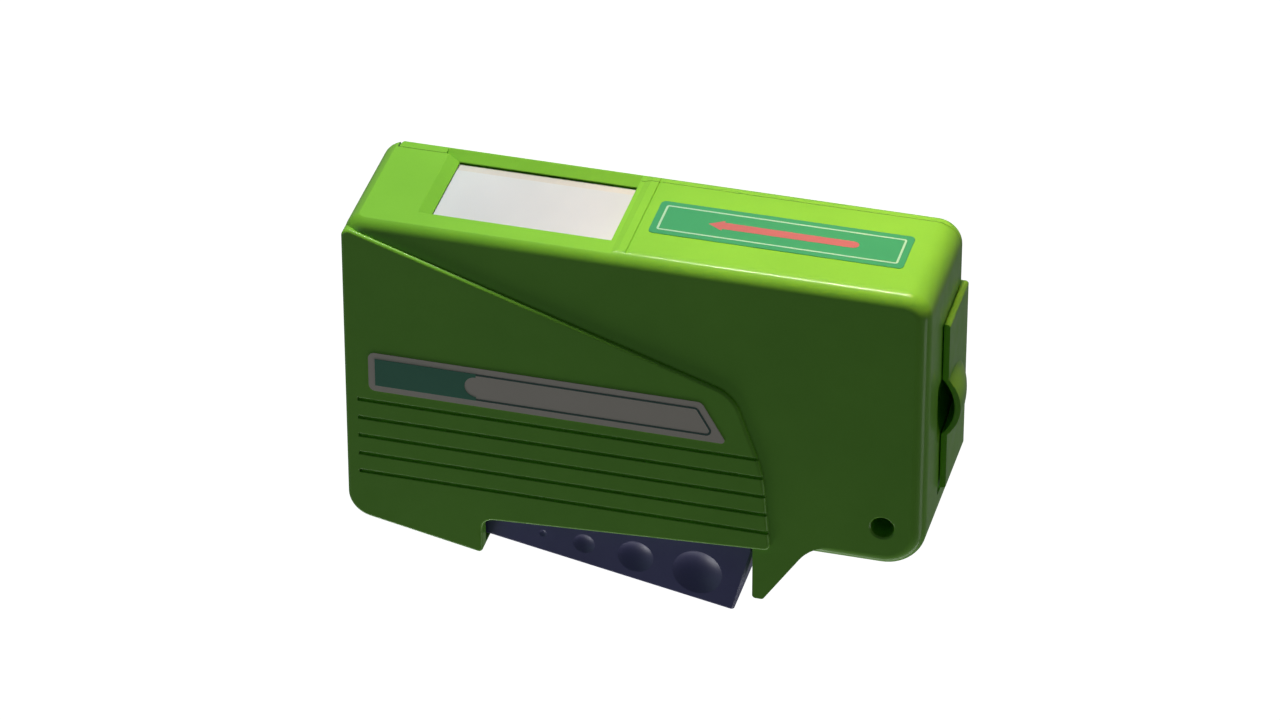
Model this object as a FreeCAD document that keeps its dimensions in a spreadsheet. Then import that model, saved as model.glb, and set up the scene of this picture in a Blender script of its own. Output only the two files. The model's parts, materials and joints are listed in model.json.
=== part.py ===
import FreeCAD, Part
import math
import os
from types import SimpleNamespace

import Sketcher

# Fibre optic cleaning cassette: a moulded case with a tape window in its top side, two tape reels,
# a squeeze lever whose toothed sector turns a ratchet drive on the take-up reel, and a hinged rear cover.
# The cassette lies on its back. Sizes of the case are measured from its left end and its top side (the
# window side), heights from the back face.

Vector = FreeCAD.Vector
Rotation = FreeCAD.Rotation

# Driving dimensions in millimetres, degrees or counts
DIMENSIONS = [
    ("case_length", 115.6, "left end to right end"),
    ("case_height", 63.1, "top side to bottom side"),
    ("case_depth", 30.0, "back face to front face"),
    ("wall", 2.2, "side walls of the case"),
    ("front_wall", 2.0, "front wall of the case"),
    ("corner_round", 5.0, "upper corners of the front outline"),
    ("low_corner_round", 8.5, "lower right corner of the front outline"),
    ("front_round", 2.7, "rounding of the front edges"),
    ("back_round", 2.2, "rounding of the back edges"),
    ("edge_round", 0.62, "rounding of the raised panel and the hook"),
    ("parting", 3.0, "height of the parting plane over the back face"),
    ("seam", 0.1, "gap along the parting plane"),
    ("cover_plate", 2.2, "plate of the rear cover"),
    ("top_step", 0.45, "drop of the window side left of the step"),
    ("step_x", 54.3, "place of the step from the left end"),
    ("step_ramp", 1.3, "ramp that leads up to the step"),
    ("score_x", 55.9, "score line right of the step, from the left end"),
    ("score_width", 0.4, "width of the score line"),
    ("score_depth", 0.25, "depth of the score line"),
    ("panel_rise", 0.7, "raised panel over the front face"),
    ("panel_top", 2.2, "panel's sloping edge at the left end"),
    ("panel_top_round", 1.6, "panel's upper left corner"),
    ("panel_knee_inset", 4.0, "end of the panel's sloping edge, left of the hook"),
    ("panel_knee_drop", 27.8, "end of the panel's sloping edge, below the top"),
    ("panel_knee_round", 8.0, "rounding at the end of the sloping edge"),
    ("panel_waist_over", 2.0, "bend in the panel's right edge, past the hook's left side"),
    ("panel_waist_drop", 44.9, "bend in the panel's right edge, below the top"),
    ("panel_waist_round", 30.0, "rounding of that bend"),
    ("panel_over", 3.6, "panel's lower right corner, past the hook's left side"),
    ("panel_right_round", 1.2, "rounding of the panel's lower right corner"),
    ("groove_drop", 41.8, "first groove, below the top"),
    ("groove_pitch", 4.25, "groove to groove"),
    ("groove_width", 0.8, "width of a groove"),
    ("groove_depth", 0.5, "depth of a groove"),
    ("groove_left", 2.5, "left end of the grooves"),
    ("groove_count", 5, "number of grooves"),
    ("chin_right", 27.3, "right side of the chin"),
    ("chin_reach", 11.3, "chin's tip below the bottom side"),
    ("chin_left_reach", 5.7, "chin's slope at the left end, below the bottom side"),
    ("chin_round", 0.8, "chin's tip"),
    ("chin_wall", 1.1, "floor of the chin at its tip"),
    ("left_low_round", 5.5, "lower left corner of the chin"),
    ("recess_left_reach", 3.15, "lever recess at the chin, below the bottom side"),
    ("recess_right_reach", 0.2, "lever recess at the hook, below the bottom side"),
    ("recess_round", 2.5, "rounding between chin and recess"),
    ("hook_inset", 33.8, "left side of the hook to the right end"),
    ("hook_reach", 12.2, "hook's tip below the bottom side"),
    ("hook_foot", 2.15, "width of the hook's tip"),
    ("hook_root", 12.0, "width of the hook at its root"),
    ("hook_root_round", 9.0, "sweep between hook and bottom side"),
    ("hook_tip_round", 0.7, "rounding of the hook's tip"),
    ("window_left", 13.1, "left edge of the tape window"),
    ("window_length", 39.0, "length of the tape window"),
    ("window_margin", 5.5, "window to the front face"),
    ("window_slope", 3.2, "lean of the window's left wall"),
    ("window_bevel", 1.1, "bevel of the cover along the window"),
    ("strap_inset", 8.2, "strap hole to the right end"),
    ("strap_rise", 9.2, "strap hole to the bottom side"),
    ("strap_radius", 2.3, "strap hole"),
    ("strap_boss", 4.3, "sleeve round the strap hole"),
    ("strap_chamfer", 0.3, "countersink of the strap hole"),
    ("latch_drop", 14.0, "upper edge of the latch tab, below the top"),
    ("latch_height", 38.0, "height of the latch tab"),
    ("latch_foot", 0.6, "foot of the latch tab over the back face"),
    ("latch_front", 16.5, "free edge of the latch tab over the back face"),
    ("latch_thick", 1.2, "thickness of the latch tab"),
    ("latch_gap", 0.3, "latch tab to its bed"),
    ("latch_bed", 0.3, "depth of the bed in the end wall"),
    ("latch_bed_front", 18.5, "front edge of the bed over the back face"),
    ("latch_bed_margin", 0.6, "bed beyond the latch tab"),
    ("latch_chamfer", 0.4, "chamfer of the latch tab"),
    ("pull_width", 14.0, "finger pull at its mouth"),
    ("pull_rise", 2.5, "finger pull over the latch tab"),
    ("pull_middle", 8.5, "fullest part of the finger pull over the back face"),
    ("pull_middle_width", 12.0, "finger pull at its fullest part"),
    ("pull_middle_rise", 1.95, "finger pull at its fullest part, over the latch tab"),
    ("pull_tail", 3.4, "tail of the finger pull over the back face"),
    ("pull_tail_width", 6.0, "finger pull at its tail"),
    ("pull_tail_rise", 0.2, "finger pull at its tail, over the latch tab"),
    ("scoop_depth", 1.2, "finger scoop in the end wall"),
    ("scoop_length", 4.0, "finger scoop in front of the latch tab"),
    ("hinge_radius", 1.7, "hinge barrel"),
    ("hinge_pin_radius", 0.8, "hinge pin"),
    ("hinge_pin_length", 16.0, "hinge pin"),
    ("hinge_ear", 8.0, "length of a hinge ear"),
    ("hinge_gap", 0.3, "hinge ear to the case"),
    ("hinge_swing", 0.2, "cover edge to the hinge barrel"),
    ("hinge_relief", 0.8, "bevel of the ledge that the cover swings past"),
    ("hinge_drop", 18.0, "first hinge ear, below the top"),
    ("hinge_spread", 28.0, "hinge ear to hinge ear"),
    ("running_gap", 0.05, "radial clearance of what turns on a pin"),
    ("cover_boss_gap", 0.25, "cover's sockets to the axles"),
    ("pivot_x", 22.5, "lever pivot from the left end"),
    ("pivot_reach", 4.2, "lever pivot below the bottom side"),
    ("lever_pin_radius", 1.5, "lever pin"),
    ("lever_hub", 3.0, "lever hub"),
    ("lever_hub_length", 3.5, "lever hub inside each side wall"),
    ("lever_front_gap", 1.0, "lever to the front wall"),
    ("lever_back_gap", 0.5, "lever to the cover plate"),
    ("lever_front_wall", 1.8, "front side wall of the lever and its toothed sector"),
    ("lever_back_wall", 1.2, "back side wall of the lever"),
    ("lever_floor", 2.0, "grip and end wall of the lever"),
    ("lever_heel_x", 4.2, "start of the grip, right of the pivot"),
    ("lever_heel_drop", 4.83, "start of the grip, below the pivot"),
    ("lever_end_gap", 0.6, "lever's end to the hook"),
    ("lever_lean", 3.9, "lean of the lever's end"),
    ("lever_tip_drop", 14.3, "end of the grip, below the pivot"),
    ("lever_tip_round", 0.8, "rounding at the end of the grip"),
    ("lever_end_rise", 0.7, "lever's end at the recess, above the pivot"),
    ("lever_top_rise", 5.8, "lever's hidden upper edge, above the pivot"),
    ("lever_bevel", 0.5, "bevel of the lever's end"),
    ("dimple_first_x", 16.2, "first dimple, right of the pivot"),
    ("dimple_first_drop", 2.6, "first dimple, below the pivot"),
    ("dimple_first_radius", 0.8, "first dimple"),
    ("dimple_last_x", 47.5, "last dimple, right of the pivot"),
    ("dimple_last_drop", 6.2, "last dimple, below the pivot"),
    ("dimple_last_radius", 5.0, "last dimple"),
    ("dimple_share", 0.22, "depth of a dimple, as a share of its radius"),
    ("dimple_bunch", 0.3, "how much closer the small dimples stand"),
    ("dimple_count", 4, "number of dimples"),
    ("sector_band", 7.0, "width of the arm that carries the sector"),
    ("sector_teeth", 7, "teeth on the sector"),
    ("sector_teeth_above", 1, "teeth past the point of mesh at rest"),
    ("gear_module", 1.0, "size of the gear teeth"),
    ("gear_teeth", 20, "teeth on the drive gear"),
    ("gear_backlash", 0.16, "thinning of each tooth"),
    ("gear_gap", 0.3, "drive gear to the reel and to its boss"),
    ("gear_recess_radius", 7.4, "recess for the pawl spring"),
    ("gear_recess_depth", 1.3, "recess for the pawl spring"),
    ("ratchet_radius", 5.2, "ratchet wheel of the take-up reel"),
    ("ratchet_height", 1.1, "ratchet wheel over the flange"),
    ("ratchet_step", 0.8, "depth of the ratchet teeth"),
    ("ratchet_count", 12, "ratchet teeth"),
    ("pawl_thick", 0.45, "pawl spring"),
    ("rim_step", 0.9, "depth of the teeth on the flange rim"),
    ("rim_count", 36, "teeth on the flange rim"),
    ("stop_post_radius", 1.6, "post of the stop pawl"),
    ("stop_arm_thick", 1.2, "arm of the stop pawl"),
    ("stop_arm_length", 14.0, "arm of the stop pawl"),
    ("stop_gap", 0.15, "stop pawl to the rim teeth"),
    ("supply_x", 30.0, "supply reel from the left end"),
    ("take_up_inset", 33.6, "take-up reel from the right end"),
    ("reel_shift", 2.83, "reels below the middle of the case"),
    ("reel_gap", 0.3, "reels to the lever's side walls"),
    ("flange_radius", 21.0, "reel flanges"),
    ("flange_thick", 0.8, "reel flanges"),
    ("core_radius", 9.0, "reel core"),
    ("core_wall", 1.5, "wall of the reel core"),
    ("hub_radius", 3.6, "reel hub"),
    ("web_thick", 1.6, "web between hub and core"),
    ("flange_hole_radius", 3.0, "holes in the flanges"),
    ("flange_hole_circle", 15.0, "circle of those holes"),
    ("flange_hole_count", 6, "holes in a flange"),
    ("axle_radius", 2.0, "reel axles"),
    ("axle_seat", 1.0, "axles and pins into the front wall"),
    ("boss_height", 0.4, "axle bosses inside the front wall"),
    ("boss_rim", 1.4, "boss wall round an axle or pin"),
    ("cover_boss_height", 1.6, "cover's axle sockets"),
    ("brake_radius", 6.0, "brake felt of the supply reel"),
    ("brake_felt_thick", 1.0, "brake felt"),
    ("brake_spring_thick", 0.3, "conical brake spring"),
    ("tape_thick", 0.25, "cleaning tape"),
    ("tape_gap", 0.15, "tape to the rollers and rolls"),
    ("tape_side_gap", 0.15, "tape to the flanges"),
    ("tape_drop", 2.5, "tape below the top side"),
    ("supply_roll_radius", 18.0, "fresh tape on the supply reel"),
    ("used_roll_radius", 11.5, "used tape on the take-up reel"),
    ("roller_radius", 2.8, "guide rollers"),
    ("roller_pin_radius", 1.0, "roller pins"),
    ("roller_offset", 5.8, "guide rollers beyond the window"),
    ("roller_boss", 3.0, "roller bosses inside the front wall"),
    ("pad_thick", 1.2, "cushion under the tape"),
    ("platen_thick", 2.4, "platen under the cushion"),
    ("platen_leg", 3.0, "ribs of the platen"),
    ("platen_overlap", 1.0, "platen beyond the window"),
    ("platen_gap", 0.4, "platen to the cover plate"),
    ("label_thick", 0.12, "labels"),
    ("front_label_left", 4.9, "front label from the left end"),
    ("front_label_drop", 30.3, "front label below the top"),
    ("front_label_height", 8.9, "front label"),
    ("front_label_length", 66.7, "front label, upper edge"),
    ("front_label_slant", 5.1, "lean of the front label's right end"),
    ("front_label_round", 1.4, "corners of the front label"),
    ("front_label_tip_round", 0.7, "lower right corner of the front label"),
    ("top_label_left", 58.2, "arrow label from the left end"),
    ("top_label_length", 49.9, "arrow label"),
    ("top_label_width", 11.3, "arrow label"),
    ("top_label_round", 1.0, "corners of the arrow label"),
    ("spring_wire", 0.35, "radius of the lever spring's wire"),
    ("spring_radius", 2.3, "lever spring to the middle of its wire"),
    ("spring_pitch", 0.95, "turn to turn"),
    ("spring_turns", 3, "turns of the lever spring"),
    ("spring_leg", 11.0, "legs of the lever spring"),
]
PRESSURE_ANGLE = math.radians(20.0)
FLANK_STEPS = 4
# Corner to corner play that lets a cut run out of a face
CLEAR = 1.0


class Size:
    """A number together with the sheet expression that gives it."""

    def __init__(self, value, text):
        self.value = float(value)
        self.text = text

    def __float__(self):
        return self.value

    def join(self, other, mark, value):
        return Size(value, f"({self.text} {mark} {text_of(other)})")

    def __add__(self, other):
        return self.join(other, "+", self.value + float(other))

    def __sub__(self, other):
        return self.join(other, "-", self.value - float(other))

    def __mul__(self, other):
        return self.join(other, "*", self.value * float(other))

    def __truediv__(self, other):
        return self.join(other, "/", self.value / float(other))

    def __neg__(self):
        return Size(-self.value, f"(0 - {self.text})")


def text_of(size):
    """Sheet expression of a Size or a plain number."""
    return size.text if isinstance(size, Size) else repr(float(size))


def make_sheet(doc):
    """Spreadsheet of the driving dimensions, and each of them as a Size."""
    sheet = doc.addObject("Spreadsheet::Sheet", "Sizes")
    sizes = SimpleNamespace()
    for row, (alias, value, note) in enumerate(DIMENSIONS, start=1):
        sheet.set(f"A{row}", note)
        sheet.set(f"B{row}", str(value))
        sheet.setAlias(f"B{row}", alias)
        setattr(sizes, alias, Size(value, f"Sizes.{alias}"))
    doc.recompute()
    return sizes


doc = FreeCAD.newDocument("cleaning_cassette")
s = make_sheet(doc)

# Heights over the back face of the layers inside the case
front_inner = s.case_depth - s.front_wall
lever_front = front_inner - s.lever_front_gap
sector_back = lever_front - s.lever_front_wall
lever_back = s.cover_plate + s.lever_back_gap
reel_front = sector_back - s.reel_gap
reel_back = lever_back + s.lever_back_wall + s.reel_gap
tape_front = reel_front - s.flange_thick - s.tape_side_gap
tape_back = reel_back + s.flange_thick + s.tape_side_gap
gear_back = reel_front + s.gear_gap
gear_front = front_inner - s.boss_height - s.gear_gap
boss_back = front_inner - s.boss_height
roller_boss_back = front_inner - s.roller_boss
seat_top = front_inner + s.axle_seat
cover_top = s.parting - s.seam
axle_end = s.cover_plate + s.seam * 2
platen_back = s.cover_plate + s.platen_gap
panel_top_level = s.case_depth + s.panel_rise

# Places in the front view, from the left end and the top side
window_right = s.window_left + s.window_length
hook_left = s.case_length - s.hook_inset
panel_knee_x = hook_left - s.panel_knee_inset
panel_waist_x = hook_left + s.panel_waist_over
panel_right = hook_left + s.panel_over
lever_end_x = hook_left - s.lever_end_gap - s.pivot_x
lever_tip_x = lever_end_x - s.lever_lean
pivot_y = -(s.case_height + s.pivot_reach)
reel_y = -(s.case_height / 2 + s.reel_shift)
take_up_x = s.case_length - s.take_up_inset
roller_left_x = s.window_left - s.roller_offset
roller_right_x = window_right + s.roller_offset
tape_under = -(s.tape_drop + s.tape_thick)
roller_y = tape_under - s.tape_gap - s.roller_radius
strap_x = s.case_length - s.strap_inset
strap_y = -(s.case_height - s.strap_rise)
hinge_edge = s.hinge_radius * 2 + s.hinge_swing
hinge_ledge = s.hinge_radius * 2 - s.hinge_swing * 0.5
bed_x = s.case_length - s.latch_bed
tab_inner = bed_x + s.latch_gap
tab_outer = tab_inner + s.latch_thick
pull_y = -(s.latch_drop + s.latch_height / 2)
hinge_drops = [s.hinge_drop, s.hinge_drop + s.hinge_spread]

# Drive: the sector turns about the lever pivot and meshes with the gear on the take-up axle
gear_radius = s.gear_module * s.gear_teeth / 2
drive_dx = float(take_up_x) - float(s.pivot_x)
drive_dy = float(reel_y) - float(pivot_y)
mesh_angle = math.atan2(drive_dy, drive_dx)
sector_radius = math.hypot(drive_dx, drive_dy) - float(gear_radius)


def tie(thing, prop, size):
    """Bind a property to the sheet."""
    thing.setExpression(prop, text_of(size))


def place(thing, x=0.0, y=0.0, z=0.0):
    """Put an object at a place measured from the left end, the top side and the back face."""
    tie(thing, "Placement.Base.x", -s.case_length / 2 + x)
    tie(thing, "Placement.Base.y", s.case_height / 2 + y)
    tie(thing, "Placement.Base.z", z)


def new_body(label, x=0.0, y=0.0, z=0.0):
    body = doc.addObject("PartDesign::Body", label)
    body.Label = label
    place(body, x, y, z)
    return body


def origin(body, role):
    return next(item for item in body.Origin.OriginFeatures if item.Role == role)


def new_sketch(body, name, plane, level):
    sketch = body.newObject("Sketcher::SketchObject", name)
    sketch.AttachmentSupport = [(origin(body, plane), "")]
    sketch.MapMode = "FlatFace"
    tie(sketch, "AttachmentOffset.Base.z", level)
    return sketch


def dimension(sketch, constraint, size):
    """Add a dimension to a sketch and bind it to the sheet."""
    index = sketch.addConstraint(constraint)
    sketch.renameConstraint(index, f"size_{index}")
    sketch.setExpression(f"Constraints.size_{index}", text_of(size))


def fix_point(sketch, item, point, x, y):
    dimension(sketch, Sketcher.Constraint("DistanceX", item, point, float(x)), x)
    dimension(sketch, Sketcher.Constraint("DistanceY", item, point, float(y)), y)


def corner_points(corners):
    """Where the rounding of each corner starts and ends, and the middle of its arc."""
    points = [Vector(float(corner[0]), float(corner[1]), 0) for corner in corners]
    marks = []
    for index, corner in enumerate(corners):
        here = points[index]
        radius = float(corner[2]) if len(corner) > 2 else 0.0
        back = (points[index - 1] - here).normalize()
        ahead = (points[(index + 1) % len(points)] - here).normalize()
        half = back.getAngle(ahead) / 2
        reach = radius / math.tan(half)
        inward = (back + ahead).normalize()
        middle = here + inward * (radius / math.sin(half) - radius)
        marks.append((here, here + back * reach, middle, here + ahead * reach, radius))
    return marks


def outline(body, name, corners, plane="XY_Plane", level=0.0):
    """Closed outline through corners (x, y, radius), every corner and radius bound to the sheet."""
    sketch = new_sketch(body, name, plane, level)
    marks = corner_points(corners)
    count = len(marks)
    for index in range(count):
        leave = marks[index][3]
        arrive = marks[(index + 1) % count][1]
        sketch.addGeometry(Part.LineSegment(leave, arrive), False)
    for index, (here, arrive, middle, leave, radius) in enumerate(marks):
        before = (index - 1) % count
        if radius:
            arc = sketch.addGeometry(Part.Arc(arrive, middle, leave), False)
            first = 1 if sketch.getPoint(arc, 1).isEqual(arrive, 1e-6) else 2
            sketch.addConstraint(Sketcher.Constraint("Tangent", before, 2, arc, first))
            sketch.addConstraint(Sketcher.Constraint("Tangent", arc, 3 - first, index, 1))
            dimension(sketch, Sketcher.Constraint("Radius", arc, radius), corners[index][2])
            item = sketch.addGeometry(Part.Point(here), True)
            sketch.addConstraint(Sketcher.Constraint("PointOnObject", item, 1, before))
            sketch.addConstraint(Sketcher.Constraint("PointOnObject", item, 1, index))
        else:
            item = index
            sketch.addConstraint(Sketcher.Constraint("Coincident", before, 2, index, 1))
        fix_point(sketch, item, 1, corners[index][0], corners[index][1])
    return sketch


def fixed_sketch(body, name, edges, level):
    """Sketch of edges worked out from the sheet, held where they are."""
    sketch = new_sketch(body, name, "XY_Plane", level)
    for edge in edges:
        item = sketch.addGeometry(edge, False)
        sketch.addConstraint(Sketcher.Constraint("Block", item))
    return sketch


def fixed_outline(body, name, points, level):
    """Closed run of lines through points worked out from the sheet."""
    ahead = points[1:] + points[:1]
    return fixed_sketch(body, name, [Part.LineSegment(a, b) for a, b in zip(points, ahead)], level)


def circles(body, name, rounds, plane="XY_Plane", level=0.0):
    """Sketch of circles (x, y, radius)."""
    sketch = new_sketch(body, name, plane, level)
    for x, y, radius in rounds:
        circle = Part.Circle(Vector(float(x), float(y), 0), Vector(0, 0, 1), float(radius))
        item = sketch.addGeometry(circle, False)
        dimension(sketch, Sketcher.Constraint("Radius", item, float(radius)), radius)
        fix_point(sketch, item, 3, x, y)
    return sketch


def rectangle(body, name, left, right, low, high, plane="XY_Plane", level=0.0):
    return outline(body, name, [(left, low), (right, low), (right, high), (left, high)], plane, level)


def pad(body, sketch, length, reverse=False):
    feature = body.newObject("PartDesign::Pad", f"{sketch.Name}_pad")
    feature.Profile = sketch
    feature.Reversed = reverse
    tie(feature, "Length", length)
    doc.recompute()
    return feature


def pocket(body, sketch, length):
    """Cut along the sketch's normal, and make sure that something was cut."""
    before = body.Shape.Volume
    feature = body.newObject("PartDesign::Pocket", f"{sketch.Name}_cut")
    feature.Profile = sketch
    feature.Reversed = True
    tie(feature, "Length", length)
    doc.recompute()
    if body.Shape.Volume >= before:
        raise RuntimeError(f"{feature.Name} cut nothing")
    return feature


def spin(body, sketch):
    """Revolve a sketch about the body's upright axis."""
    feature = body.newObject("PartDesign::Revolution", f"{sketch.Name}_turned")
    feature.Profile = sketch
    feature.ReferenceAxis = (origin(body, "Z_Axis"), [""])
    feature.Angle = 360.0
    doc.recompute()
    return feature


def ring_of(body, feature, count, angle=360.0):
    """Repeat a feature about the body's upright axis."""
    pattern = body.newObject("PartDesign::PolarPattern", f"{feature.Name}_ring")
    pattern.Originals = [feature]
    pattern.Axis = (origin(body, "Z_Axis"), [""])
    tie(pattern, "Angle", angle)
    tie(pattern, "Occurrences", count)
    body.Tip = pattern
    doc.recompute()
    return pattern


def dress_edges(body, kind, name, size, wanted):
    """Fillet or chamfer the edges of the body that a test picks."""
    base = body.Tip
    chosen = [f"Edge{i}" for i, edge in enumerate(base.Shape.Edges, start=1) if wanted(edge)]
    feature = body.newObject(f"PartDesign::{kind}", name)
    feature.Base = (base, chosen)
    tie(feature, "Radius" if kind == "Fillet" else "Size", size)
    body.Tip = feature
    doc.recompute()
    return feature


def solid_in(body, kind, name, sizes, x, y, z, turn=None):
    """Add or cut a primitive such as AdditiveCylinder."""
    feature = body.newObject(f"PartDesign::{kind}", name)
    for prop, size in sizes.items():
        tie(feature, prop, size)
    if turn:
        feature.Placement = FreeCAD.Placement(Vector(), turn)
    tie(feature, "Placement.Base.x", x)
    tie(feature, "Placement.Base.y", y)
    tie(feature, "Placement.Base.z", z)
    doc.recompute()
    return feature


def polar(radius, angle):
    return Vector(radius * math.cos(angle), radius * math.sin(angle), 0)


def at_level(level):
    """Test for edges that lie at one height."""
    height = float(level)
    return lambda edge: abs(edge.BoundBox.ZMin - height) < 1e-4 and abs(edge.BoundBox.ZMax - height) < 1e-4


def stop_post_place():
    """Post of the stop pawl: beside the take-up reel, above the tip of the pawl's arm."""
    return take_up_x + s.flange_radius + s.stop_post_radius, reel_y + s.stop_arm_length


# Outlines that the case and the cover share
def chin_line(x):
    """Lower edge of the chin at a distance from the left end."""
    fall = (s.chin_reach - s.chin_left_reach) / s.chin_right
    return -(s.case_height + s.chin_left_reach + fall * x)


def recess_line(x):
    """Upper edge of the lever recess at a distance from the left end."""
    rise = (s.recess_left_reach - s.recess_right_reach) / (hook_left - s.chin_right)
    return -(s.case_height + s.recess_left_reach - rise * (x - s.chin_right))


def hook_corners():
    tip = -(s.case_height + s.hook_reach)
    root = -(s.case_height - s.front_round)
    inside = root + s.low_corner_round
    right = hook_left + s.hook_root
    return [
        (hook_left, inside),
        (hook_left, tip, s.hook_tip_round),
        (hook_left + s.hook_foot, tip, s.hook_tip_round),
        (right, root, s.hook_root_round),
        (right + s.hook_root_round, root),
        (right + s.hook_root_round, inside),
    ]


def cavity_corners(left):
    """Inside of the case, open towards the lever between chin and hook."""
    below = -(s.case_height + s.hook_reach + CLEAR)
    bottom = -(s.case_height - s.wall)
    return [
        (left, -s.wall, s.corner_round - s.wall),
        (s.case_length - s.wall, -s.wall, s.corner_round - s.wall),
        (s.case_length - s.wall, bottom, s.low_corner_round - s.wall),
        (hook_left - s.seam, bottom),
        (hook_left - s.seam, below),
        (s.chin_right + s.seam, below),
        (s.chin_right + s.seam, chin_line(s.chin_right) + s.chin_wall),
        (left, chin_line(left) + s.wall, s.left_low_round - s.wall),
    ]


def cut_top_side(body, depth):
    """Step in the window side, with a ramp that leads up to it and a score line beside it."""
    step = outline(body, "top_step", [
        (-CLEAR, -s.top_step),
        (s.step_x - s.step_ramp, -s.top_step),
        (s.step_x, 0.0),
        (s.step_x, CLEAR),
        (-CLEAR, CLEAR),
    ])
    pocket(body, step, depth)
    score = rectangle(body, "score", s.score_x, s.score_x + s.score_width, -s.score_depth, CLEAR)
    pocket(body, score, depth)


def cut_window(body, length):
    """Tape window with a sloping left wall, from the cover's plate towards the front."""
    lean = s.window_slope / s.tape_drop
    well = outline(body, "window", [
        (s.window_left - lean * CLEAR, CLEAR),
        (window_right, CLEAR),
        (window_right, -(s.tape_drop + CLEAR)),
        (s.window_left + lean * (s.tape_drop + CLEAR), -(s.tape_drop + CLEAR)),
    ], level=s.cover_plate)
    pocket(body, well, length)


def make_front_case():
    body = new_body("front_case")
    block = outline(body, "block", [
        (0.0, 0.0, s.corner_round),
        (s.case_length, 0.0, s.corner_round),
        (s.case_length, -s.case_height, s.low_corner_round),
        (0.0, -s.case_height),
    ])
    pad(body, block, s.case_depth)
    dress_edges(body, "Fillet", "front_edges", s.front_round, at_level(s.case_depth))
    dress_edges(body, "Fillet", "back_edges", s.back_round, at_level(0.0))

    hook = outline(body, "hook", hook_corners())
    pad(body, hook, s.case_depth)

    panel = outline(body, "panel", [
        (0.0, -s.panel_top, s.panel_top_round),
        (panel_knee_x, -s.panel_knee_drop, s.panel_knee_round),
        (panel_waist_x, -s.panel_waist_drop, s.panel_waist_round),
        (panel_right, recess_line(panel_right), s.panel_right_round),
        (s.chin_right, recess_line(s.chin_right), s.recess_round),
        (s.chin_right, chin_line(s.chin_right), s.chin_round),
        (0.0, chin_line(0.0), s.left_low_round),
    ])
    pad(body, panel, panel_top_level)
    dress_edges(body, "Fillet", "panel_edges", s.edge_round, at_level(panel_top_level))

    seat = rectangle(body, "cover_seat", hinge_ledge, s.case_length + CLEAR,
                     -(s.case_height + s.hook_reach + CLEAR), CLEAR)
    pocket(body, seat, s.parting)
    relief = outline(body, "hinge_relief", [
        (hinge_ledge - s.hinge_relief - CLEAR, -CLEAR),
        (hinge_ledge + CLEAR, -CLEAR),
        (hinge_ledge + CLEAR, s.hinge_relief + CLEAR),
    ], "XZ_Plane", -CLEAR)
    pocket(body, relief, s.case_height + s.hook_reach + CLEAR)
    cavity = outline(body, "cavity", cavity_corners(s.wall), level=s.parting)
    pocket(body, cavity, front_inner - s.parting)

    cut_window(body, s.case_depth - s.window_margin - s.cover_plate)
    cut_top_side(body, s.case_depth)

    groove = rectangle(body, "groove", s.groove_left, panel_right + CLEAR,
                       -(s.groove_drop + s.groove_width / 2), -(s.groove_drop - s.groove_width / 2),
                       level=panel_top_level - s.groove_depth)
    cut = pocket(body, groove, s.panel_rise)
    rows = body.newObject("PartDesign::LinearPattern", "grooves")
    rows.Originals = [cut]
    rows.Direction = (origin(body, "Y_Axis"), [""])
    rows.Reversed = True
    tie(rows, "Length", s.groove_pitch * (s.groove_count - 1))
    tie(rows, "Occurrences", s.groove_count)
    body.Tip = rows
    doc.recompute()

    axle_boss = s.axle_radius + s.boss_rim
    bosses = circles(body, "axle_bosses", [
        (take_up_x, reel_y, axle_boss),
        (s.supply_x, reel_y, axle_boss),
        (s.pivot_x, pivot_y, s.lever_pin_radius + s.boss_rim),
    ], level=boss_back)
    pad(body, bosses, s.boss_height + s.front_wall / 2)
    roller_bosses = circles(body, "roller_bosses", [
        (roller_left_x, roller_y, s.roller_pin_radius + s.boss_rim),
        (roller_right_x, roller_y, s.roller_pin_radius + s.boss_rim),
    ], level=roller_boss_back)
    pad(body, roller_bosses, s.roller_boss + s.front_wall / 2)
    post = circles(body, "stop_post", [(*stop_post_place(), s.stop_post_radius)],
                   level=reel_front - s.flange_thick)
    pad(body, post, front_inner - reel_front + s.flange_thick + s.front_wall / 2)
    sleeve = circles(body, "strap_sleeve", [(strap_x, strap_y, s.strap_boss)], level=s.parting)
    pad(body, sleeve, front_inner - s.parting + s.front_wall / 2)

    axle_seats = circles(body, "axle_seats", [
        (take_up_x, reel_y, s.axle_radius),
        (s.supply_x, reel_y, s.axle_radius),
        (s.pivot_x, pivot_y, s.lever_pin_radius),
    ], level=boss_back)
    pocket(body, axle_seats, s.boss_height + s.axle_seat)
    pin_seats = circles(body, "roller_pin_seats", [
        (roller_left_x, roller_y, s.roller_pin_radius),
        (roller_right_x, roller_y, s.roller_pin_radius),
    ], level=roller_boss_back)
    pocket(body, pin_seats, s.roller_boss + s.axle_seat)
    strap = circles(body, "strap_hole", [(strap_x, strap_y, s.strap_radius)])
    pocket(body, strap, s.case_depth + CLEAR)
    rim = float(s.case_depth)
    hole = float(s.strap_radius)
    dress_edges(body, "Chamfer", "strap_countersink", s.strap_chamfer, lambda edge: (
        at_level(rim)(edge) and hasattr(edge.Curve, "Radius") and abs(edge.Curve.Radius - hole) < 1e-4))

    bed = rectangle(body, "latch_bed", bed_x, s.case_length + CLEAR,
                    -(s.latch_drop + s.latch_height + s.latch_bed_margin),
                    -(s.latch_drop - s.latch_bed_margin))
    pocket(body, bed, s.latch_bed_front)
    half = s.pull_width / 2
    scoop_radius = (half * half + s.scoop_depth * s.scoop_depth) / (s.scoop_depth * 2)
    solid_in(body, "SubtractiveCylinder", "scoop",
             {"Radius": scoop_radius, "Height": s.scoop_length + s.latch_front - s.parting},
             s.case_length - s.scoop_depth + scoop_radius, pull_y, s.parting)

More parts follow.
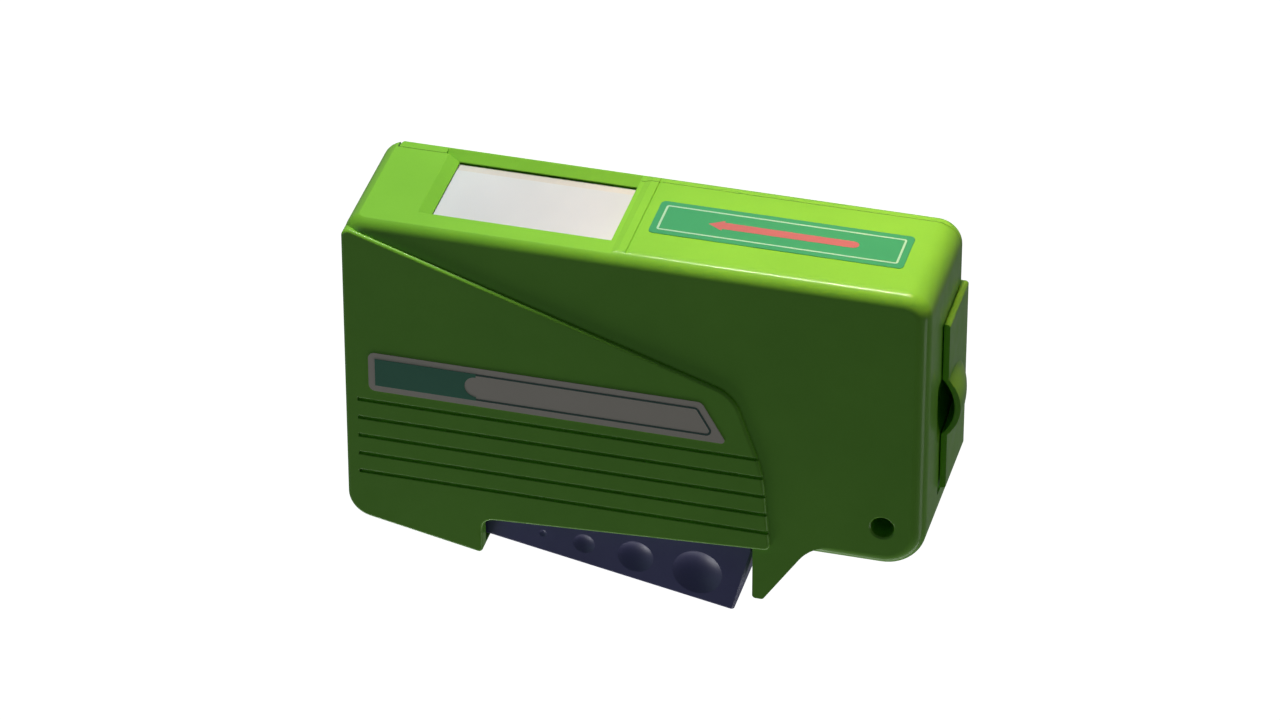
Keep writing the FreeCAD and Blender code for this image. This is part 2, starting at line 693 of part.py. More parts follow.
    ear_room = s.hinge_ear / 2 + s.hinge_gap
    for index, drop in enumerate(hinge_drops, start=1):
        room = rectangle(body, f"ear_room_{index}", -CLEAR, hinge_ledge + CLEAR,
                         -(drop + ear_room), -(drop - ear_room))
        pocket(body, room, s.hinge_radius * 2 + s.hinge_swing)
        solid_in(body, "SubtractiveCylinder", f"pin_hole_{index}",
                 {"Radius": s.hinge_pin_radius, "Height": s.hinge_pin_length},
                 s.hinge_radius, -(drop + s.hinge_pin_length / 2), s.hinge_radius,
                 Rotation(Vector(1, 0, 0), -90))
    return body


def make_rear_cover():
    body = new_body("rear_cover")
    block = outline(body, "plate", [
        (hinge_edge, 0.0),
        (s.case_length, 0.0, s.corner_round),
        (s.case_length, -s.case_height, s.low_corner_round),
        (hinge_edge, -s.case_height),
    ])
    pad(body, block, cover_top)
    dress_edges(body, "Fillet", "back_edges", s.back_round, at_level(0.0))
    hook = outline(body, "hook", hook_corners())
    pad(body, hook, cover_top)
    chin = outline(body, "chin", [
        (hinge_edge, -(s.case_height - s.front_round)),
        (hinge_edge, chin_line(hinge_edge)),
        (s.chin_right, chin_line(s.chin_right), s.chin_round),
        (s.chin_right, recess_line(s.chin_right), s.recess_round),
        (hook_left, recess_line(hook_left)),
        (hook_left, -(s.case_height - s.front_round)),
    ])
    pad(body, chin, cover_top)

    tray = outline(body, "tray", cavity_corners(hinge_edge + s.wall), level=s.cover_plate)
    pocket(body, tray, s.parting)
    cut_top_side(body, s.parting)
    brink = s.cover_plate - s.window_bevel
    steepness = (cover_top - brink) / (s.wall - s.top_step)
    ramp = outline(body, "window_ramp", [
        (-s.wall, cover_top),
        (-s.wall, s.parting),
        (CLEAR, s.parting),
        (CLEAR, brink - steepness * (s.top_step + CLEAR)),
    ], "YZ_Plane", s.window_left)
    pocket(body, ramp, s.window_length)
    lip_x = s.case_length - s.wall - s.latch_gap
    lip = rectangle(body, "end_lip", lip_x - s.lever_back_wall, lip_x,
                    -(s.latch_drop + s.latch_height - s.corner_round), -s.corner_round * 2,
                    level=s.cover_plate / 2)
    pad(body, lip, s.cover_plate / 2 + s.cover_boss_height)

    socket = s.axle_radius + s.cover_boss_gap
    sockets = circles(body, "axle_sockets", [
        (take_up_x, reel_y, socket + s.boss_rim),
        (s.supply_x, reel_y, socket + s.boss_rim),
    ], level=s.cover_plate / 2)
    pad(body, sockets, s.cover_plate / 2 + s.cover_boss_height)
    holes = circles(body, "socket_holes", [
        (take_up_x, reel_y, socket),
        (s.supply_x, reel_y, socket),
        (s.pivot_x, pivot_y, s.lever_pin_radius + s.cover_boss_gap),
    ], level=s.cover_plate / 2)
    pocket(body, holes, s.parting + s.cover_boss_height)
    strap = circles(body, "strap_hole", [(strap_x, strap_y, s.strap_radius)])
    pocket(body, strap, s.parting)

    low = -(s.latch_drop + s.latch_height)
    high = -s.latch_drop
    foot = rectangle(body, "latch_foot", s.case_length - s.wall, tab_outer, low, high, level=s.latch_foot)
    pad(body, foot, cover_top - s.latch_foot)
    tab = rectangle(body, "latch_tab", tab_inner, tab_outer, low, high, level=s.latch_foot)
    pad(body, tab, s.latch_front - s.latch_foot)
    outer = float(tab_outer)
    dress_edges(body, "Chamfer", "latch_bevel", s.latch_chamfer, lambda edge: (
        abs(edge.BoundBox.XMin - outer) < 1e-4 and abs(edge.BoundBox.XMax - outer) < 1e-4
        and abs(edge.BoundBox.YMax - edge.BoundBox.YMin) < 1e-4))
    pull_shell(body, "AdditiveLoft", "pull", tab_inner + s.latch_thick / 2, s.latch_thick / 2, 0.0)
    pull_shell(body, "SubtractiveLoft", "pull_hollow", tab_inner, 0.0, s.latch_thick)

    for index, drop in enumerate(hinge_drops, start=1):
        along = Rotation(Vector(1, 0, 0), -90)
        start = -(drop + s.hinge_ear / 2)
        solid_in(body, "AdditiveCylinder", f"ear_{index}",
                 {"Radius": s.hinge_radius, "Height": s.hinge_ear},
                 s.hinge_radius, start, s.hinge_radius, along)
        solid_in(body, "AdditiveBox", f"ear_web_{index}",
                 {"Length": hinge_edge - s.hinge_radius + s.wall, "Width": s.hinge_ear, "Height": s.hinge_radius},
                 s.hinge_radius, start, 0.0)
        solid_in(body, "SubtractiveCylinder", f"ear_hole_{index}",
                 {"Radius": s.hinge_pin_radius + s.running_gap, "Height": s.hinge_ear},
                 s.hinge_radius, start, s.hinge_radius, along)
    return body


def pull_shell(body, kind, name, base_x, sink, inset):
    """Finger pull of the latch tab: an arched section at the mouth that dies out towards its tail."""
    sections = [
        (s.latch_front, s.pull_width, s.pull_rise),
        (s.pull_middle, s.pull_middle_width, s.pull_middle_rise),
        (s.pull_tail, s.pull_tail_width, s.pull_tail_rise),
    ]
    sketches = []
    for index, (level, width, rise) in enumerate(sections, start=1):
        half = width / 2 - inset * 0.5
        top = base_x + sink + rise
        sketch = new_sketch(body, f"{name}_section_{index}", "XY_Plane", level)
        ends = [Vector(float(base_x), float(pull_y - half), 0), Vector(float(base_x), float(pull_y + half), 0)]
        crown = Vector(float(top), float(pull_y), 0)
        sketch.addGeometry(Part.LineSegment(ends[1], ends[0]), False)
        arc = sketch.addGeometry(Part.Arc(ends[0], crown, ends[1]), False)
        first = 1 if sketch.getPoint(arc, 1).isEqual(ends[0], 1e-6) else 2
        sketch.addConstraint(Sketcher.Constraint("Coincident", 0, 2, arc, first))
        sketch.addConstraint(Sketcher.Constraint("Coincident", 0, 1, arc, 3 - first))
        fix_point(sketch, 0, 2, base_x, pull_y - half)
        fix_point(sketch, 0, 1, base_x, pull_y + half)
        height = top - base_x
        dimension(sketch, Sketcher.Constraint("Radius", arc, float((half * half + height * height) / (height * 2))),
                  (half * half + height * height) / (height * 2))
        sketches.append(sketch)
    feature = body.newObject(f"PartDesign::{kind}", name)
    feature.Profile = sketches[0]
    feature.Sections = sketches[1:]
    doc.recompute()
    return feature


def involute_tooth(teeth_radius, bottom):
    """Half outline of a tooth that points along +X: from its root at the bottom radius to its tip."""
    module = float(s.gear_module)
    base = teeth_radius * math.cos(PRESSURE_ANGLE)
    tip = teeth_radius + module
    thick = math.pi * module / 4 - float(s.gear_backlash) / 2
    pitch_roll = math.tan(PRESSURE_ANGLE) - PRESSURE_ANGLE
    half = thick / teeth_radius + pitch_roll
    start = max(base, teeth_radius - 1.25 * module)
    flank = []
    for step in range(FLANK_STEPS + 1):
        radius = start + (tip - start) * step / FLANK_STEPS
        lean = math.acos(base / radius)
        angle = half - (math.tan(lean) - lean)
        flank.append((radius * math.cos(angle), radius * math.sin(angle)))
    root_angle = math.atan2(flank[0][1], flank[0][0])
    return [(bottom * math.cos(root_angle), bottom * math.sin(root_angle))] + flank


def tooth_sketch(body, name, teeth_radius, bottom, angle, level):
    """One gear tooth at an angle, as a closed run of lines."""
    half = involute_tooth(teeth_radius, bottom)
    points = [(x, -y) for x, y in half] + list(reversed(half))
    turn = Rotation(Vector(0, 0, 1), math.degrees(angle))
    return fixed_outline(body, name, [turn.multVec(Vector(x, y, 0)) for x, y in points], level)


def make_lever():
    body = new_body("lever", s.pivot_x, pivot_y)
    side = outline(body, "side", [
        (-s.lever_hub, s.lever_hub, s.lever_hub * 0.95),
        (-s.lever_hub, -s.lever_hub, s.lever_hub * 0.95),
        (s.lever_heel_x - s.lever_tip_round, -s.lever_hub),
        (s.lever_heel_x, -s.lever_heel_drop, s.lever_tip_round),
        (lever_tip_x, -s.lever_tip_drop, s.lever_tip_round),
        (lever_end_x, s.lever_end_rise),
        (lever_end_x - s.latch_gap, s.lever_top_rise, s.lever_tip_round),
        (s.lever_heel_x + s.lever_hub, s.lever_top_rise - s.lever_tip_round),
    ], level=lever_back)
    pad(body, side, lever_front - lever_back)
    dress_edges(body, "Chamfer", "front_bevel", s.lever_bevel, at_level(lever_front))
    fall = (s.lever_tip_drop - s.lever_heel_drop) / (lever_tip_x - s.lever_heel_x)
    run = (lever_end_x - lever_tip_x) / (s.lever_end_rise + s.lever_tip_drop)
    floor_left = s.lever_heel_x + s.lever_floor * 2
    floor_right = lever_tip_x - s.lever_floor * 0.6
    hollow = outline(body, "hollow", [
        (-s.lever_hub - CLEAR, s.lever_top_rise + CLEAR),
        (-s.lever_hub - CLEAR, -s.lever_hub - CLEAR),
        (s.lever_heel_x - s.lever_tip_round, -s.lever_hub - CLEAR),
        (floor_left, -s.lever_heel_drop - fall * (floor_left - s.lever_heel_x) + s.lever_floor),
        (floor_right, -s.lever_heel_drop - fall * (floor_right - s.lever_heel_x) + s.lever_floor),
        (lever_end_x - s.lever_floor, s.lever_end_rise - s.lever_floor * run),
        (lever_end_x + CLEAR, s.lever_end_rise - s.lever_floor * run),
        (lever_end_x + CLEAR, s.lever_top_rise + CLEAR),
    ], level=lever_back + s.lever_back_wall)
    pocket(body, hollow, sector_back - lever_back - s.lever_back_wall)
    for name, level in [("back_hub", lever_back), ("front_hub", sector_back - s.lever_hub_length)]:
        hub = circles(body, name, [(0.0, 0.0, s.lever_hub)], level=level)
        pad(body, hub, s.lever_hub_length + s.lever_back_wall)

    # Arm with the toothed sector, in line with the front side wall
    root = sector_radius - 1.25 * float(s.gear_module)
    tooth_step = math.pi * float(s.gear_module) / sector_radius
    top_angle = mesh_angle + (float(s.sector_teeth_above) + 0.5) * tooth_step
    foot_angle = math.asin(float(s.lever_end_rise) / root)
    inner = root - float(s.sector_band)
    middle_angle = (foot_angle + top_angle) / 2
    arm = fixed_sketch(body, "arm", [
        Part.LineSegment(polar(inner, foot_angle), polar(root, foot_angle)),
        Part.Arc(polar(root, foot_angle), polar(root, middle_angle), polar(root, top_angle)),
        Part.LineSegment(polar(root, top_angle), polar(inner, top_angle)),
        Part.Arc(polar(inner, top_angle), polar(inner, middle_angle), polar(inner, foot_angle)),
    ], sector_back)
    pad(body, arm, s.lever_front_wall)
    lowest = mesh_angle + (float(s.sector_teeth_above) - float(s.sector_teeth) + 1) * tooth_step
    tooth = tooth_sketch(body, "sector_tooth", sector_radius, root - 0.2, lowest, sector_back)
    tooth_pad = pad(body, tooth, s.lever_front_wall)
    span = (s.sector_teeth - 1) * math.degrees(tooth_step)
    ring_of(body, tooth_pad, s.sector_teeth, span)

    bore = circles(body, "pin_bore", [(0.0, 0.0, s.lever_pin_radius + s.running_gap)])
    pocket(body, bore, s.case_depth)
    for index in range(int(s.dimple_count.value)):
        part = Size(index, f"{index}") / (s.dimple_count - 1)
        along = part - s.dimple_bunch * part * (-part + 1)
        radius = s.dimple_first_radius + (s.dimple_last_radius - s.dimple_first_radius) * part
        depth = radius * s.dimple_share
        bowl = (radius * radius + depth * depth) / (depth * 2)
        solid_in(body, "SubtractiveSphere", f"dimple_{index + 1}", {"Radius": bowl},
                 s.dimple_first_x + (s.dimple_last_x - s.dimple_first_x) * along,
                 -(s.dimple_first_drop + (s.dimple_last_drop - s.dimple_first_drop) * along),
                 lever_front - depth + bowl)
    return body


def make_pin(label, places, radius, low, high):
    """Plain round pins with a bevelled lower end, all of one kind in one piece."""
    body = new_body(label)
    pins = circles(body, f"{label}_round", [(x, y, radius) for x, y in places], level=low)
    pad(body, pins, high - low)
    dress_edges(body, "Chamfer", f"{label}_bevel", radius * 0.2, at_level(low))
    return body


def make_hinge_pins():
    body = new_body("hinge_pins")
    for index, drop in enumerate(hinge_drops, start=1):
        solid_in(body, "AdditiveCylinder", f"hinge_pin_{index}",
                 {"Radius": s.hinge_pin_radius, "Height": s.hinge_pin_length},
                 s.hinge_radius, -(drop + s.hinge_pin_length / 2), s.hinge_radius,
                 Rotation(Vector(1, 0, 0), -90))
    return body


def make_ring(label, x, y, inner, outer, low, high):
    """Plain ring about an upright axis."""
    body = new_body(label, x, y)
    section = outline(body, f"{label}_section", [
        (inner, low), (outer, low), (outer, high), (inner, high)], "XZ_Plane")
    spin(body, section)
    return body


def make_reel(label, x):
    """Reel with a hub, a web, a core for the tape and two pierced flanges."""
    body = new_body(label, x, reel_y)
    bore = s.axle_radius + s.running_gap
    core_inner = s.core_radius - s.core_wall
    web_low = (reel_back + reel_front - s.web_thick) / 2
    section = outline(body, f"{label}_section", [
        (bore, reel_back),
        (s.hub_radius, reel_back),
        (s.hub_radius, web_low),
        (core_inner, web_low),
        (core_inner, reel_back),
        (s.flange_radius, reel_back),
        (s.flange_radius, reel_back + s.flange_thick),
        (s.core_radius, reel_back + s.flange_thick),
        (s.core_radius, reel_front - s.flange_thick),
        (s.flange_radius, reel_front - s.flange_thick),
        (s.flange_radius, reel_front),
        (core_inner, reel_front),
        (core_inner, web_low + s.web_thick),
        (s.hub_radius, web_low + s.web_thick),
        (s.hub_radius, reel_front),
        (bore, reel_front),
    ], "XZ_Plane")
    spin(body, section)
    hole = circles(body, f"{label}_flange_hole", [(s.flange_hole_circle, 0.0, s.flange_hole_radius)],
                   level=reel_back)
    cut = pocket(body, hole, reel_front - reel_back)
    ring_of(body, cut, s.flange_hole_count)
    return body


def saw_cut(body, name, radius, step, count, low, high):
    """Saw teeth round a rim: one notch, deepest at its steep face, repeated."""
    past = float(radius) + float(step) / 3
    notch = fixed_outline(body, name, [
        Vector(float(radius) - float(step), 0, 0),
        Vector(past, 0, 0),
        polar(past, math.tau / float(count)),
    ], low)
    cut = pocket(body, notch, high - low)
    ring_of(body, cut, count)


def make_take_up_reel():
    body = make_reel("take_up_reel", take_up_x)
    saw_cut(body, "rim_notch", s.flange_radius, s.rim_step, s.rim_count,
            reel_front - s.flange_thick, reel_front)
    wheel = circles(body, "ratchet_wheel", [
        (0.0, 0.0, s.ratchet_radius),
        (0.0, 0.0, s.axle_radius + s.running_gap),
    ], level=reel_front - s.flange_thick)
    pad(body, wheel, s.flange_thick + s.ratchet_height)
    saw_cut(body, "ratchet_notch", s.ratchet_radius, s.ratchet_step, s.ratchet_count,
            reel_front - s.flange_thick, reel_front + s.ratchet_height)
    return body


def make_drive_gear():
    body = new_body("drive_gear", take_up_x, reel_y)
    root = float(gear_radius) - 1.25 * float(s.gear_module)
    wheel = circles(body, "gear_disc", [(0.0, 0.0, root)], level=gear_back)
    pad(body, wheel, gear_front - gear_back)
    half_pitch = math.pi / float(s.gear_teeth)
    tooth = tooth_sketch(body, "gear_tooth", float(gear_radius), root - 0.3,
                         mesh_angle + math.pi + half_pitch, gear_back)
    ring_of(body, pad(body, tooth, gear_front - gear_back), s.gear_teeth)
    recess = circles(body, "pawl_recess", [(0.0, 0.0, s.gear_recess_radius)], level=gear_back)
    pocket(body, recess, s.gear_recess_depth)
    bore = circles(body, "gear_bore", [(0.0, 0.0, s.axle_radius + s.running_gap)], level=gear_back)
    pocket(body, bore, gear_front - gear_back)
    return body


def make_drive_pawl():
    """Ring pressed into the gear with two sprung fingers that push the ratchet wheel one way."""
    body = new_body("drive_pawl", take_up_x, reel_y)
    height = reel_front + s.ratchet_height - gear_back
    ring = circles(body, "pawl_ring", [
        (0.0, 0.0, s.gear_recess_radius),
        (0.0, 0.0, s.gear_recess_radius - s.pawl_thick),
    ], level=gear_back)
    pad(body, ring, height)
    half = float(s.pawl_thick) / 2
    tip = float(s.ratchet_radius) - half
    ring_middle = float(s.gear_recess_radius) - half
    reach = math.sqrt(ring_middle ** 2 - tip ** 2)
    finger = fixed_outline(body, "pawl_finger", [
        Vector(tip - half, half, 0),
        Vector(tip + half, half, 0),
        Vector(tip + half, reach - half, 0),
        Vector(tip - half, reach, 0),
    ], gear_back)
    ring_of(body, pad(body, finger, height), 2)
    return body


def make_stop_pawl():
    """Sprung arm on the post that keeps the take-up reel from turning back."""
    body = new_body("stop_pawl", take_up_x, reel_y)
    post_x = s.flange_radius + s.stop_post_radius
    post_y = s.stop_arm_length
    low = reel_front - s.flange_thick
    tip = s.flange_radius - s.rim_step / 2 + s.stop_gap
    arm = outline(body, "stop_arm", [
        (tip, s.stop_gap),
        (tip + s.stop_arm_thick, s.stop_gap),
        (post_x + s.stop_arm_thick / 2, post_y),
        (post_x - s.stop_arm_thick / 2, post_y),
    ], level=low)
    pad(body, arm, s.flange_thick)
    eye = circles(body, "stop_eye", [(post_x, post_y, s.stop_post_radius + s.stop_arm_thick)], level=low)
    pad(body, eye, s.flange_thick)
    hole = circles(body, "stop_hole", [(post_x, post_y, s.stop_post_radius)], level=low)
    pocket(body, hole, s.flange_thick)
    return body


def make_brake_spring():
    """Dished washer between the brake felt and the boss of the front wall."""
    body = new_body("brake_spring", s.supply_x, reel_y)
    inner = s.axle_radius + s.cover_boss_gap
    low = reel_front + s.brake_felt_thick
    section = outline(body, "brake_section", [
        (inner, boss_back),
        (inner, boss_back - s.brake_spring_thick),
        (s.brake_radius - s.brake_felt_thick, low),
        (s.brake_radius, low),
        (s.brake_radius, low + s.brake_spring_thick),
        (inner + s.brake_felt_thick, boss_back),
    ], "XZ_Plane")
    spin(body, section)
    return body


def make_guide_roller(label, x):
    """Roller with a bevel at each end."""
    body = new_body(label, x, roller_y)
    bore = s.roller_pin_radius + s.running_gap
    bevel = s.roller_radius * 0.15
    high = roller_boss_back - s.tape_side_gap
    section = outline(body, f"{label}_section", [
        (bore, s.parting),
        (s.roller_radius - bevel, s.parting),
        (s.roller_radius, s.parting + bevel),
        (s.roller_radius, high - bevel),
        (s.roller_radius - bevel, high),
        (bore, high),
    ], "XZ_Plane")
    spin(body, section)
    return body


def make_platen():
    """Bar under the window, with a rib at each end, on the inside of the front wall."""
    body = new_body("platen")
    left = s.window_left - s.platen_overlap
    right = window_right + s.platen_overlap
    top = tape_under - s.pad_thick
    under = top - s.platen_thick
    foot = under - s.platen_leg
    profile = outline(body, "platen_profile", [
        (left, top),
        (right, top),
        (right, foot),
        (right - s.platen_thick, foot),
        (right - s.platen_thick, under),
        (left + s.platen_thick, under),
        (left + s.platen_thick, foot),
        (left, foot),
    ], level=platen_back)
    pad(body, profile, front_inner - platen_back)
    return body


def make_platen_pad():
    body = new_body("platen_pad")
    cushion = rectangle(body, "cushion", s.window_left - s.platen_overlap, window_right + s.platen_overlap,
                        tape_under - s.pad_thick, tape_under, level=platen_back)
    pad(body, cushion, s.case_depth - s.window_margin - platen_back)
    return body


def tape_wheels(beyond):
    """Rolls and rollers in the order in which the tape meets them, as (centre, radius)."""
    places = [
        (s.supply_x, reel_y, s.supply_roll_radius),
        (roller_left_x, roller_y, s.roller_radius),
        (roller_right_x, roller_y, s.roller_radius),
        (take_up_x, reel_y, s.used_roll_radius),
    ]
    return [(Vector(float(x), float(y), 0), float(radius) + beyond) for x, y, radius in places]


def tape_edges(beyond):
    """Run of the tape over its wheels at a distance from them, as edges from supply to take-up."""
    wheels = tape_wheels(beyond)
    leave = []
    arrive = [None]
    for (first, first_radius), (second, second_radius) in zip(wheels, wheels[1:]):
        span = second - first
        lean = math.acos((first_radius - second_radius) / span.Length)
        side = polar(1.0, math.atan2(span.y, span.x) + lean)
        leave.append(first + side * first_radius)
        arrive.append(second + side * second_radius)
    edges = []
    for index, point in enumerate(leave):
        edges.append(Part.LineSegment(point, arrive[index + 1]))
        if index + 1 < len(leave):
            centre, radius = wheels[index + 1]
            middle = (arrive[index + 1] + leave[index + 1]) * 0.5 - centre
            crown = centre + middle.normalize() * radius
            edges.append(Part.Arc(arrive[index + 1], crown, leave[index + 1]))
    return edges, leave[0], arrive[-1]


def make_tape_strip():
    """Tape from the supply roll over both rollers and under the window to the take-up roll."""
    body = new_body("tape_strip")
    near = float(s.tape_gap)
    inner, inner_start, inner_end = tape_edges(near)
    outer, outer_start, outer_end = tape_edges(near + float(s.tape_thick))
    ends = [Part.LineSegment(inner_start, outer_start), Part.LineSegment(inner_end, outer_end)]
    path = fixed_sketch(body, "tape_path", inner + outer + ends, tape_back)
    pad(body, path, tape_front - tape_back)
    return body


def make_front_label():
    body = new_body("front_label")
    low = -(s.front_label_drop + s.front_label_height)
    right = s.front_label_left + s.front_label_length
    sheet = outline(body, "label_outline", [
        (s.front_label_left, low, s.front_label_round),
        (right + s.front_label_slant, low, s.front_label_tip_round),
        (right, -s.front_label_drop, s.front_label_round),
        (s.front_label_left, -s.front_label_drop, s.front_label_round),
    ], level=panel_top_level)
    pad(body, sheet, s.label_thick)
    return body


def make_arrow_label():
    body = new_body("arrow_label")
    low = (s.case_depth - s.top_label_width) / 2
    right = s.top_label_left + s.top_label_length
    sheet = outline(body, "arrow_outline", [
        (s.top_label_left, low, s.top_label_round),
        (right, low, s.top_label_round),
        (right, low + s.top_label_width, s.top_label_round),
        (s.top_label_left, low + s.top_label_width, s.top_label_round),
    ], "XZ_Plane")
    pad(body, sheet, s.label_thick, reverse=True)
    return body


def make_lever_spring():
    """Torsion spring on the lever pin: one leg on the floor of the chin, the other on the grip."""
    turns = float(s.spring_turns) - 1 + 264.0 / 360.0
    helix = doc.addObject("Part::Helix", "spring_helix")
    tie(helix, "Radius", s.spring_radius)
    tie(helix, "Pitch", s.spring_pitch)
    tie(helix, "Height", s.spring_pitch * turns)
    wire = doc.addObject("Part::Circle", "spring_wire_round")
    tie(wire, "Radius", s.spring_wire)
    wire.Placement = FreeCAD.Placement(Vector(), Rotation(Vector(1, 0, 0), 90))
    tie(wire, "Placement.Base.x", s.spring_radius)
    doc.recompute()
    coil = doc.addObject("Part::Sweep", "spring_coil")
    coil.Sections = [wire]
    coil.Spine = (helix, [f"Edge{i}" for i in range(1, len(helix.Shape.Edges) + 1)])
    coil.Solid = True
    coil.Frenet = True
    low_leg = doc.addObject("Part::Cylinder", "spring_low_leg")
    tie(low_leg, "Radius", s.spring_wire)
    tie(low_leg, "Height", s.spring_leg * 0.41)
    low_leg.Placement = FreeCAD.Placement(Vector(), Rotation(Vector(1, 0, 0), 90))
    tie(low_leg, "Placement.Base.x", s.spring_radius)
    grip_leg = doc.addObject("Part::Cylinder", "spring_grip_leg")
    tie(grip_leg, "Radius", s.spring_wire)
    tie(grip_leg, "Height", s.spring_leg)
    end = math.radians(264.0)
    grip_leg.Placement = FreeCAD.Placement(Vector(), Rotation(Vector(0, 0, 1), polar(1.0, end + math.pi / 2)))
    tie(grip_leg, "Placement.Base.x", s.spring_radius * math.cos(end))
    tie(grip_leg, "Placement.Base.y", s.spring_radius * math.sin(end))
    tie(grip_leg, "Placement.Base.z", s.spring_pitch * turns)
    spring = doc.addObject("Part::MultiFuse", "lever_spring")
    spring.Label = "lever_spring"
    spring.Shapes = [coil, low_leg, grip_leg]
    place(spring, s.pivot_x, pivot_y, (s.case_depth - s.spring_pitch * turns) / 2)
    doc.recompute()
    return spring


def check(pieces):
    """Stop if anything failed to build."""
    for item in doc.Objects:
        if "Invalid" in item.State or "Error" in item.State:
            raise RuntimeError(f"{item.Name} did not build")
    for piece in pieces:
        if piece.Shape.isNull() or not piece.Shape.isValid():
            raise RuntimeError(f"{piece.Label} has no sound shape")


pieces = [
    make_front_case(),
    make_rear_cover(),
    make_hinge_pins(),
    make_lever(),
    make_pin("lever_pin", [(s.pivot_x, pivot_y)], s.lever_pin_radius, s.cover_plate / 2 + s.seam * 2, seat_top),
    make_lever_spring(),
    make_drive_gear(),
    make_drive_pawl(),
    make_take_up_reel(),
    make_ring("take_up_tape", take_up_x, reel_y, s.core_radius, s.used_roll_radius, tape_back, tape_front),
    make_stop_pawl(),
    make_pin("take_up_axle", [(take_up_x, reel_y)], s.axle_radius, axle_end, seat_top),
    make_reel("supply_reel", s.supply_x),
    make_ring("supply_tape", s.supply_x, reel_y, s.core_radius, s.supply_roll_radius, tape_back, tape_front),
    make_pin("supply_axle", [(s.supply_x, reel_y)], s.axle_radius, axle_end, seat_top),
    make_ring("brake_felt", s.supply_x, reel_y, s.axle_radius + s.running_gap, s.brake_radius,
              reel_front, reel_front + s.brake_felt_thick),
    make_brake_spring(),
    make_guide_roller("guide_roller_left", roller_left_x),
    make_guide_roller("guide_roller_right", roller_right_x),
    make_pin("roller_pins", [(roller_left_x, roller_y), (roller_right_x, roller_y)],
             s.roller_pin_radius, axle_end, seat_top),
    make_platen(),
    make_platen_pad(),
    make_tape_strip(),
    make_front_label(),
    make_arrow_label(),
]
doc.recompute()
check(pieces)
os.makedirs("parts", exist_ok=True)
for piece in pieces:
    piece.Shape.exportStep(f"parts/{piece.Label}.step")
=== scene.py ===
import json
import math

import bmesh
import bpy
from mathutils import Matrix, Vector


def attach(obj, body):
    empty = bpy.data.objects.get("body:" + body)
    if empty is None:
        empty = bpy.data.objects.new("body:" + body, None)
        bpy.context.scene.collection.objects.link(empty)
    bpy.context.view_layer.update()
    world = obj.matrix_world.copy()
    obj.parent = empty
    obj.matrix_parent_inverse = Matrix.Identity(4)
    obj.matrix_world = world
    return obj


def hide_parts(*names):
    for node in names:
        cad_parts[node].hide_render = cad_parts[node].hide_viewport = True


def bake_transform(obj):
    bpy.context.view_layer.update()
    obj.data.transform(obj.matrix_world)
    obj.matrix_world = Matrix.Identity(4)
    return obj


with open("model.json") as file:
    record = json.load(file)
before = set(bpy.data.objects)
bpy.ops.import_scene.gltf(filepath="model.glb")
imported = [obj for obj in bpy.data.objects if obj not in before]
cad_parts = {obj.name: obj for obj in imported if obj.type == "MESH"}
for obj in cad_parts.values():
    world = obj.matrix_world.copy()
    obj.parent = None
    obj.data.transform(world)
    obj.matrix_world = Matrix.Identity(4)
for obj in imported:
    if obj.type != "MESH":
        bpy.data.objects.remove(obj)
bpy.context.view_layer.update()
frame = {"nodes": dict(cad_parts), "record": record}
nodes = frame["nodes"]

# Sizes in millimetres, measured like the part: from the left end, from the top side and from the back face
MM = 0.001
CASE_LENGTH = 115.6
CASE_HEIGHT = 63.1
PANEL_LEVEL = 30.7
LABEL_THICK = 0.12
PRINT_THICK = 0.03
ARC_STEPS = 10

# Front label, on the raised panel
LABEL_LEVEL = PANEL_LEVEL + LABEL_THICK
LABEL_LEFT = 4.9
LABEL_RIGHT = 71.6
LABEL_SLANT = 5.1
LABEL_TOP = -30.3
LABEL_BOTTOM = -39.2
LABEL_MARGIN = 1.35
LINE_WIDTH = 0.42
LINE_ROUND = 1.1
FIELD_RIGHT = 26.6
FIELD_BITE = 2.3
BITE_STEPS = 16

# Arrow label, on the window side
ARROW_LEVEL = LABEL_THICK
ARROW_LEFT = 58.2
ARROW_RIGHT = 108.1
ARROW_LOW = 9.35
ARROW_HIGH = 20.65
ARROW_MARGIN = 1.3
ARROW_LINE = 0.42
ARROW_ROUND = 0.6
ARROW_TIP = 68.8
ARROW_TAIL = 98.3
ARROW_SHAFT = 2.2
ARROW_HEAD = 2.9
ARROW_BARB = 1.55  # width of the head over that of the shaft

# Sockets of Blender's Mix node when it mixes colours, and one band of its Wave texture at scale 1
MIX_FACTOR = 0
MIX_FIRST = 6
MIX_SECOND = 7
MIX_RESULT = 2
WAVE_PERIOD = 0.314

# Floor in metres, below the reach of the open cover, and the share of its white that reflections show
FLOOR_LEVEL = -0.13
FLOOR_HALF = 6.0
FLOOR_DARK = (0.42, 0.42, 0.42)
FLOOR_LIGHT = (0.44, 0.44, 0.44)
FLOOR_GLOW = 0.94
FLOOR_MIRRORED = 0.05

# Light all round, and the share of its white that reflections show
WORLD_TINT = (0.78, 1.0, 1.0)
WORLD_STRENGTH = 0.027
WORLD_MIRRORED = 0.2

